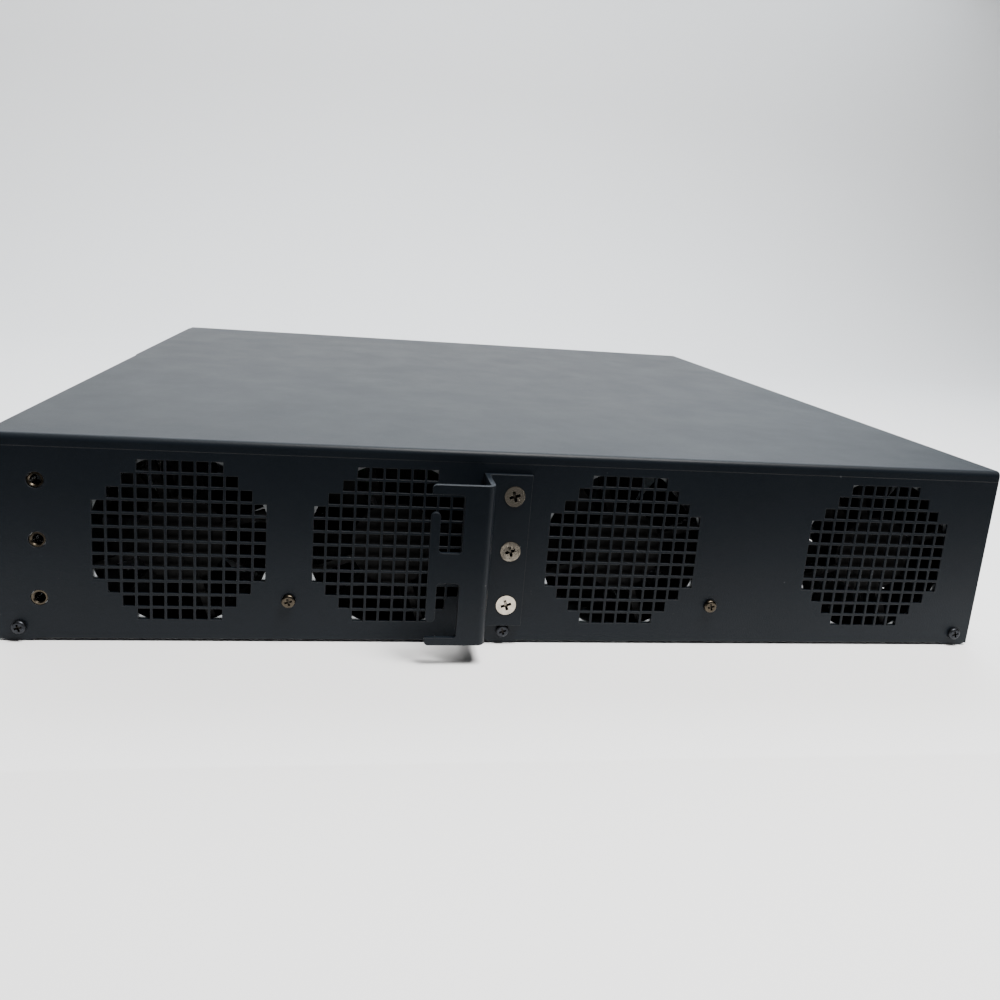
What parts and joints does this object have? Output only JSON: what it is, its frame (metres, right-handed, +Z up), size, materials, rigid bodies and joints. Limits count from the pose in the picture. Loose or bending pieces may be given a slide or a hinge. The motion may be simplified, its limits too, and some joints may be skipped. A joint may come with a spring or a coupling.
{
  "type": "rack firewall appliance",
  "caption": "Low rack-mount network appliance: folded perforated cover, side fans, Z-shaped rack ears with cable fingers, front port module and slide-in power supplies.",
  "frame": {"origin": "middle of the whole footprint, on the resting surface under the pads", "axes": "+Z up, -Y towards the front panel, X across the rack"},
  "size_m": [0.4884, 0.477, 0.0882],
  "materials": {
    "aluminium": "extruded",
    "black_plastic": "moulded",
    "black_screw": "black oxide",
    "blue_plastic": "moulded release tab",
    "board_green": "solder mask",
    "brass": "turned",
    "chip_black": "moulded package",
    "copper": "lacquered winding",
    "cover_paint": "fine-textured slate powder coat",
    "dark_zinc": "dulled yellow-zinc plate",
    "lens": "clear light pipe",
    "module_black": "black powder coat",
    "nickel": "nickel plated screws",
    "port_metal": "tin plated shield",
    "rubber": "matt",
    "wire_red": "sleeved lead",
    "zinc": "zinc plated"
  },
  "bodies": {
    "chassis": {"base_tray": "zinc", "board_chips": "chip_black", "board_screws": "zinc", "board_standoffs": "brass", "bracket_screws": "dark_zinc", "chip_heatsinks": "aluminium", "console_ports": "port_metal", "cover_screws": "black_screw", "cpu_heatsink": "aluminium", "drive_cage": "zinc", "ear_left": "cover_paint", "ear_nuts": "dark_zinc", "ear_right": "cover_paint", "ear_screws": "nickel", "fan_1_frame": "black_plastic", "fan_2_frame": "black_plastic", "fan_3_frame": "black_plastic", "fan_4_frame": "black_plastic", "fan_brackets": "zinc", "fan_cables": "wire_red", "fan_screws": "zinc", "fan_stators": "copper", "front_panel": "cover_paint", "ground_stud": "nickel", "light_pipes": "lens", "main_board": "board_green", "memory_modules": "board_green", "memory_sockets": "black_plastic", "module_board": "board_green", "module_faceplate": "module_black", "module_rj45_block": "port_metal", "module_sfp_cages": "port_metal", "module_thumbscrews": "nickel", "psu_backplane": "board_green", "psu_cage": "zinc", "rear_panel": "zinc", "rubber_pads": "rubber", "switch_housing": "black_plastic", "top_cover": "cover_paint", "usb_ports": "port_metal"},
    "drive_tray": {"drive": "aluminium", "drive_tray": "zinc"},
    "drive_lever": {"drive_lever": "blue_plastic"},
    "fan_1": {"fan_1_rotor": "black_plastic"},
    "fan_2": {"fan_2_rotor": "black_plastic"},
    "fan_3": {"fan_3_rotor": "black_plastic"},
    "fan_4": {"fan_4_rotor": "black_plastic"},
    "psu_a": {"psu_a_case": "zinc", "psu_a_handle": "black_plastic", "psu_a_inlet": "black_plastic", "psu_a_pins": "nickel"},
    "psu_a_fan": {"psu_a_fan_rotor": "black_plastic"},
    "psu_a_latch": {"psu_a_latch": "blue_plastic"},
    "psu_b": {"psu_b_case": "zinc", "psu_b_handle": "black_plastic", "psu_b_inlet": "black_plastic", "psu_b_pins": "nickel"},
    "psu_b_fan": {"psu_b_fan_rotor": "black_plastic"},
    "psu_b_latch": {"psu_b_latch": "blue_plastic"},
    "rocker": {"switch_rocker": "black_plastic"}
  },
  "joints": [
    {"name": "fan_1_spin", "type": "hinge", "parent": "chassis", "child": "fan_1", "pos_m": [0.2047, -0.1533, 0.0446], "axis": [1, 0, 0], "continuous": true},
    {"name": "fan_2_spin", "type": "hinge", "parent": "chassis", "child": "fan_2", "pos_m": [0.2047, -0.0645, 0.0446], "axis": [1, 0, 0], "continuous": true},
    {"name": "fan_3_spin", "type": "hinge", "parent": "chassis", "child": "fan_3", "pos_m": [0.2047, 0.0378, 0.0446], "axis": [1, 0, 0], "continuous": true},
    {"name": "fan_4_spin", "type": "hinge", "parent": "chassis", "child": "fan_4", "pos_m": [0.2047, 0.1616, 0.0446], "axis": [1, 0, 0], "continuous": true},
    {"name": "psu_a_slide", "type": "slide", "parent": "chassis", "child": "psu_a", "axis": [0, 1, 0], "range_m": [0, 0.185]},
    {"name": "psu_a_latch_press", "type": "hinge", "parent": "psu_a", "child": "psu_a_latch", "pos_m": [-0.1449, 0.1925, 0.0228], "axis": [0, 0, 1], "range_deg": [0, 7], "stiffness_Nm_per_rad": 0.05},
    {"name": "psu_a_fan_spin", "type": "hinge", "parent": "psu_a", "child": "psu_a_fan", "pos_m": [-0.198, 0.2085, 0.023], "axis": [0, 1, 0], "continuous": true},
    {"name": "psu_b_slide", "type": "slide", "parent": "chassis", "child": "psu_b", "axis": [0, 1, 0], "range_m": [0, 0.185]},
    {"name": "psu_b_latch_press", "type": "hinge", "parent": "psu_b", "child": "psu_b_latch", "pos_m": [-0.1449, 0.1925, 0.0642], "axis": [0, 0, 1], "range_deg": [0, 7], "stiffness_Nm_per_rad": 0.05},
    {"name": "psu_b_fan_spin", "type": "hinge", "parent": "psu_b", "child": "psu_b_fan", "pos_m": [-0.198, 0.2085, 0.0644], "axis": [0, 1, 0], "continuous": true},
    {"name": "drive_slide", "type": "slide", "parent": "chassis", "child": "drive_tray", "axis": [0, -1, 0], "range_m": [0, 0.11]},
    {"name": "drive_lever_swing", "type": "hinge", "parent": "drive_tray", "child": "drive_lever", "pos_m": [0.1188, -0.2317, 0.0112], "axis": [0, 0, -1], "range_deg": [0, 60]},
    {"name": "rocker_tilt", "type": "hinge", "parent": "chassis", "child": "rocker", "pos_m": [0.1, 0.218, 0.03], "axis": [1, 0, 0], "range_deg": [0, 20]}
  ]
}
